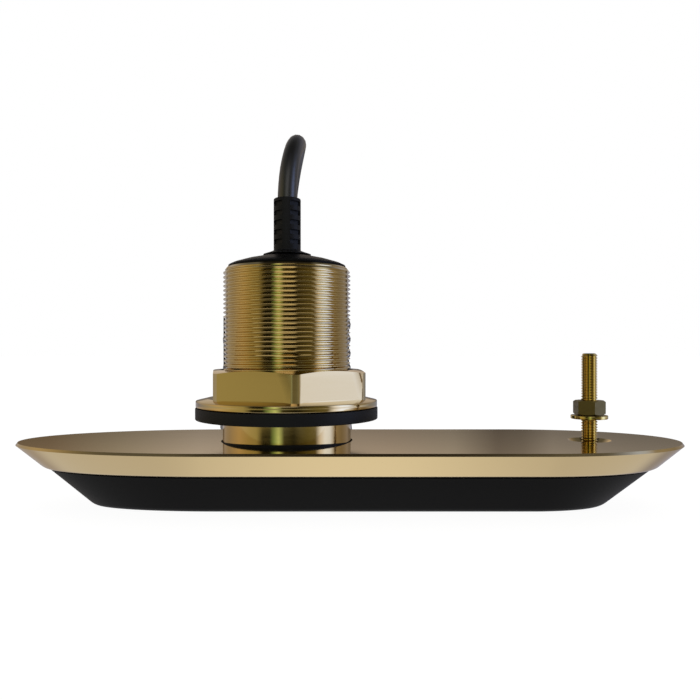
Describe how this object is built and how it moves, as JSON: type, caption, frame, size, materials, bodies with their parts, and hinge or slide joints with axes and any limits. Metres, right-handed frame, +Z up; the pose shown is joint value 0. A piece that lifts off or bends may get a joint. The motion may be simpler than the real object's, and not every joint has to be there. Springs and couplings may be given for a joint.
{
  "type": "sonar_transducer",
  "caption": "Bronze through-hull sonar transducer, boat-shaped housing with threaded stem, hull nut, stud, black acoustic window, 6 m cable and round plug",
  "frame": {"origin": "bottom centre of the box of the object without its cable, on the flat underside of the acoustic window", "axes": "+X along the housing to the blunt stern end and the stud, +Y across it to port, +Z up the stem"},
  "size_m": [0.263, 0.2234, 0.1582],
  "materials": {
    "bronze": "cast and polished",
    "brass": "turned",
    "steel": "plain",
    "copper": "drawn wire",
    "urethane": "satin black moulding",
    "rubber": "moulded",
    "jacket": "satin cable jacket",
    "tie": "smooth",
    "moulding": "moulded",
    "ceramic": "fired ceramic",
    "cork": "pressed cork and rubber",
    "board": "solder mask",
    "ferrite": "sintered"
  },
  "bodies": {
    "root": {"housing": "bronze", "hull_nut": "bronze", "hull_washer": "rubber", "stem_seal_ring": "rubber", "acoustic_window": "urethane", "window_gasket": "rubber", "element_carrier": "moulding", "port_sidescan_array": "ceramic", "starboard_sidescan_array": "ceramic", "downscan_array": "ceramic", "chirp_array": "ceramic", "port_backing_pad": "cork", "starboard_backing_pad": "cork", "downscan_backing_pad": "cork", "chirp_backing_pad": "cork", "temperature_sensor": "steel", "carrier_screw_1": "steel", "carrier_screw_2": "steel", "carrier_screw_3": "steel", "carrier_screw_4": "steel", "circuit_board": "board", "board_header": "moulding", "matching_transformer": "ferrite", "filter_choke": "ferrite", "port_lead": "copper", "starboard_lead": "copper", "downscan_lead": "copper", "cable_core": "jacket", "stem_cap": "urethane", "cap_oring": "rubber", "strain_relief": "rubber", "anti_rotation_stud": "brass", "stud_nut": "brass", "stud_washer": "brass", "cable": "jacket", "cable_hank": "jacket", "cable_tie_left": "tie", "cable_tie_right": "tie", "cable_tail": "jacket", "connector_body": "urethane", "connector_insert": "moulding", "connector_collar": "urethane"}
  },
  "joints": []
}
